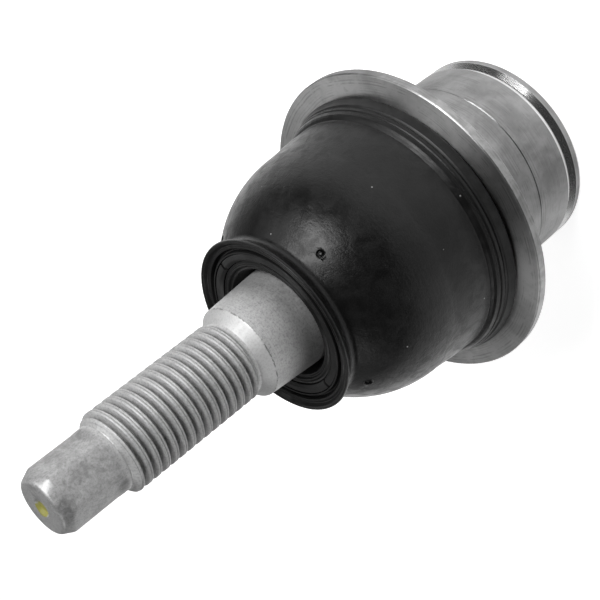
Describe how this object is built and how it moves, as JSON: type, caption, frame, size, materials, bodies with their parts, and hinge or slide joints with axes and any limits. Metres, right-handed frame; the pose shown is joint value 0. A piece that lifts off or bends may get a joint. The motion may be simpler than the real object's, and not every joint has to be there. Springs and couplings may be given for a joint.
{
  "type": "suspension ball joint",
  "caption": "Press-in suspension ball joint: threaded taper stud that swings in a flanged steel housing, under a rubber dust boot.",
  "frame": {"origin": "on the joint's axis, in the plane of the flange's seat, where the barrel starts", "axes": "+Z along the stud's axis at rest, towards its threaded end; X and Y any two directions square to it"},
  "size_m": [0.0662, 0.0662, 0.124],
  "materials": {
    "machined_steel": "turned, bright",
    "cover_steel": "pressed sheet, satin",
    "spring_steel": "hardened, dark",
    "race_polymer": "moulded, matt",
    "stud_steel": "zinc coated, satin grey",
    "boot_rubber": "moulded, satin black",
    "black_steel": "blackened, satin"
  },
  "bodies": {
    "housing": {"housing": "machined_steel", "cover_plate": "cover_steel", "preload_washer": "spring_steel", "front_race": "race_polymer", "rear_race": "race_polymer", "boot_base_ring": "black_steel"},
    "boot": {"dust_boot": "boot_rubber"},
    "boot_neck": {"boot_neck_ring": "black_steel"},
    "stud": {"ball_stud": "stud_steel"}
  },
  "joints": [
    {"name": "swing_x", "type": "hinge", "parent": "housing", "child": "boot", "pos_m": [0, 0, -0.0088], "axis": [1, 0, 0], "range_deg": [-20, 20], "deforming": ["dust_boot"]},
    {"name": "swing_y", "type": "hinge", "parent": "boot", "child": "boot_neck", "pos_m": [0, 0, -0.0088], "axis": [0, 1, 0], "range_deg": [-20, 20], "deforming": ["dust_boot"]},
    {"name": "stud_spin", "type": "hinge", "parent": "boot_neck", "child": "stud", "pos_m": [0, 0, -0.0088], "axis": [0, 0, 1], "continuous": true}
  ]
}
